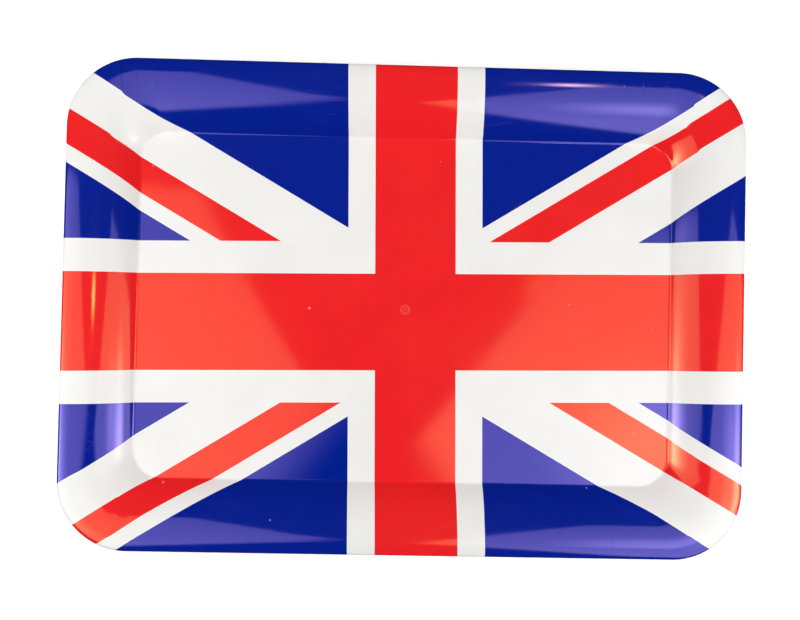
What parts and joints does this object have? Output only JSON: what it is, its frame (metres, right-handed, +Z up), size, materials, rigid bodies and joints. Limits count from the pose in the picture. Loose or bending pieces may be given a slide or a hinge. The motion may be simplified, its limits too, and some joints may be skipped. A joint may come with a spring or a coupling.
{
  "type": "serving tray",
  "caption": "Shallow rectangular serving tray with rounded corners, a sloping border and a printed crossed-flag film moulded onto its upper face.",
  "frame": {"origin": "on the resting plane, under the middle of the tray", "axes": "+X along the tray's length, +Y across it, +Z up out of the floor towards what it carries"},
  "size_m": [0.43, 0.309, 0.0206],
  "materials": {
    "tray_plastic": "semi-gloss white moulded plastic, with a finer satin texture underneath",
    "ink_white": "white ink under a clear glossy film",
    "ink_red": "bright red ink under a clear glossy film",
    "ink_blue": "deep navy blue ink under a clear glossy film"
  },
  "bodies": {
    "root": {"tray_body": "tray_plastic", "film_white": "ink_white", "film_red": "ink_red", "film_blue": "ink_blue"}
  },
  "joints": []
}
